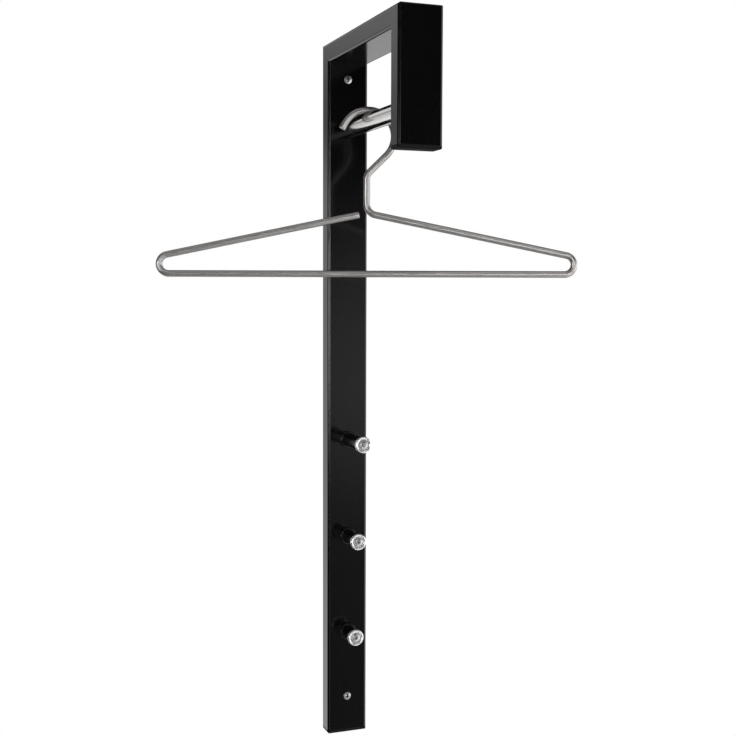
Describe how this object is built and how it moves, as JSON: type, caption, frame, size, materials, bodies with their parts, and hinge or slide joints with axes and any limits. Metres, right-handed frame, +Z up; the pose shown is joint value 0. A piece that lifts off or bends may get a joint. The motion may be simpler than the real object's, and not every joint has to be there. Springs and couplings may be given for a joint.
{
  "type": "wall coat rack",
  "caption": "Wall rack of mitred black tube shaped like an upside-down J, with a rail for hangers, graded knobs below and a bent-wire coat hanger.",
  "frame": {"origin": "on the wall plane, midway between the two wall screws", "axes": "+Z up, +Y into the wall, -Y towards the room, +X to the right as seen from the room"},
  "size_m": [0.3638, 0.229, 0.67],
  "materials": {
    "frame_black": "satin black powder coat",
    "cap_plastic": "fine-grained black moulding",
    "rail_chrome": "polished chrome",
    "knob_black": "satin black",
    "knob_chrome": "polished chrome",
    "screw_steel": "bright zinc-plated steel",
    "zinc_steel": "dull zinc-plated steel",
    "hanger_wire": "brushed stainless steel wire"
  },
  "bodies": {
    "rack": {"wall_post": "frame_black", "top_arm": "frame_black", "front_drop": "frame_black", "post_end_cap": "cap_plastic", "drop_end_cap": "cap_plastic", "hanger_rail": "rail_chrome", "rail_rear_plug": "zinc_steel", "rail_front_plug": "zinc_steel", "rail_screw": "zinc_steel", "rail_washer": "zinc_steel", "knob_rivet_nuts": "zinc_steel", "wall_screws": "screw_steel", "upper_screw_sleeve": "zinc_steel", "lower_screw_sleeve": "zinc_steel", "upper_knob_collar": "knob_black", "upper_knob_shaft": "knob_black", "upper_knob_cap": "knob_chrome", "upper_knob_screw": "screw_steel", "middle_knob_collar": "knob_black", "middle_knob_shaft": "knob_black", "middle_knob_cap": "knob_chrome", "middle_knob_screw": "screw_steel", "lower_knob_collar": "knob_black", "lower_knob_shaft": "knob_black", "lower_knob_cap": "knob_chrome", "lower_knob_screw": "screw_steel"},
    "hanger": {"coat_hanger": "hanger_wire"}
  },
  "joints": [
    {"name": "hanger_swing", "type": "hinge", "parent": "rack", "child": "hanger", "pos_m": [0, -0.072, 0.253], "axis": [0, 1, 0], "range_deg": [-30, 30]}
  ]
}
